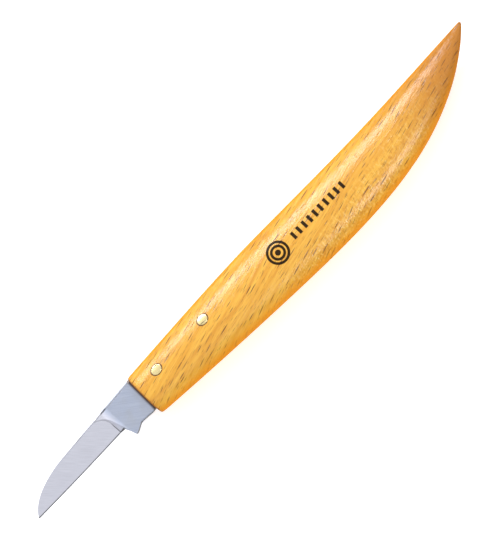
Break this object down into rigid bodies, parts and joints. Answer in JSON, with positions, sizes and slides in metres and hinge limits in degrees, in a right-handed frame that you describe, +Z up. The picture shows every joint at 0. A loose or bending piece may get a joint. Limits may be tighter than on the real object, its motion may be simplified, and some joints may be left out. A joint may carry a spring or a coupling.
{
  "type": "whittling knife",
  "caption": "Fixed-blade whittling knife: a short straight ground blade with a spur, held by brass pins in a fish-shaped wooden handle that ends in a point.",
  "frame": {"origin": "middle of the underside of the bounding box; the knife lies on one planed flank of its handle", "axes": "+X from the blade's tip towards the handle's point, +Y towards the spine, +Z up, square to the blade's faces"},
  "size_m": [0.17, 0.0214, 0.014],
  "materials": {
    "steel": "satin, finely ground",
    "beech": "satin varnish",
    "brass": "dressed flush and polished"
  },
  "bodies": {
    "root": {"blade": "steel", "handle": "beech", "front_pin": "brass", "rear_pin": "brass"}
  },
  "joints": []
}
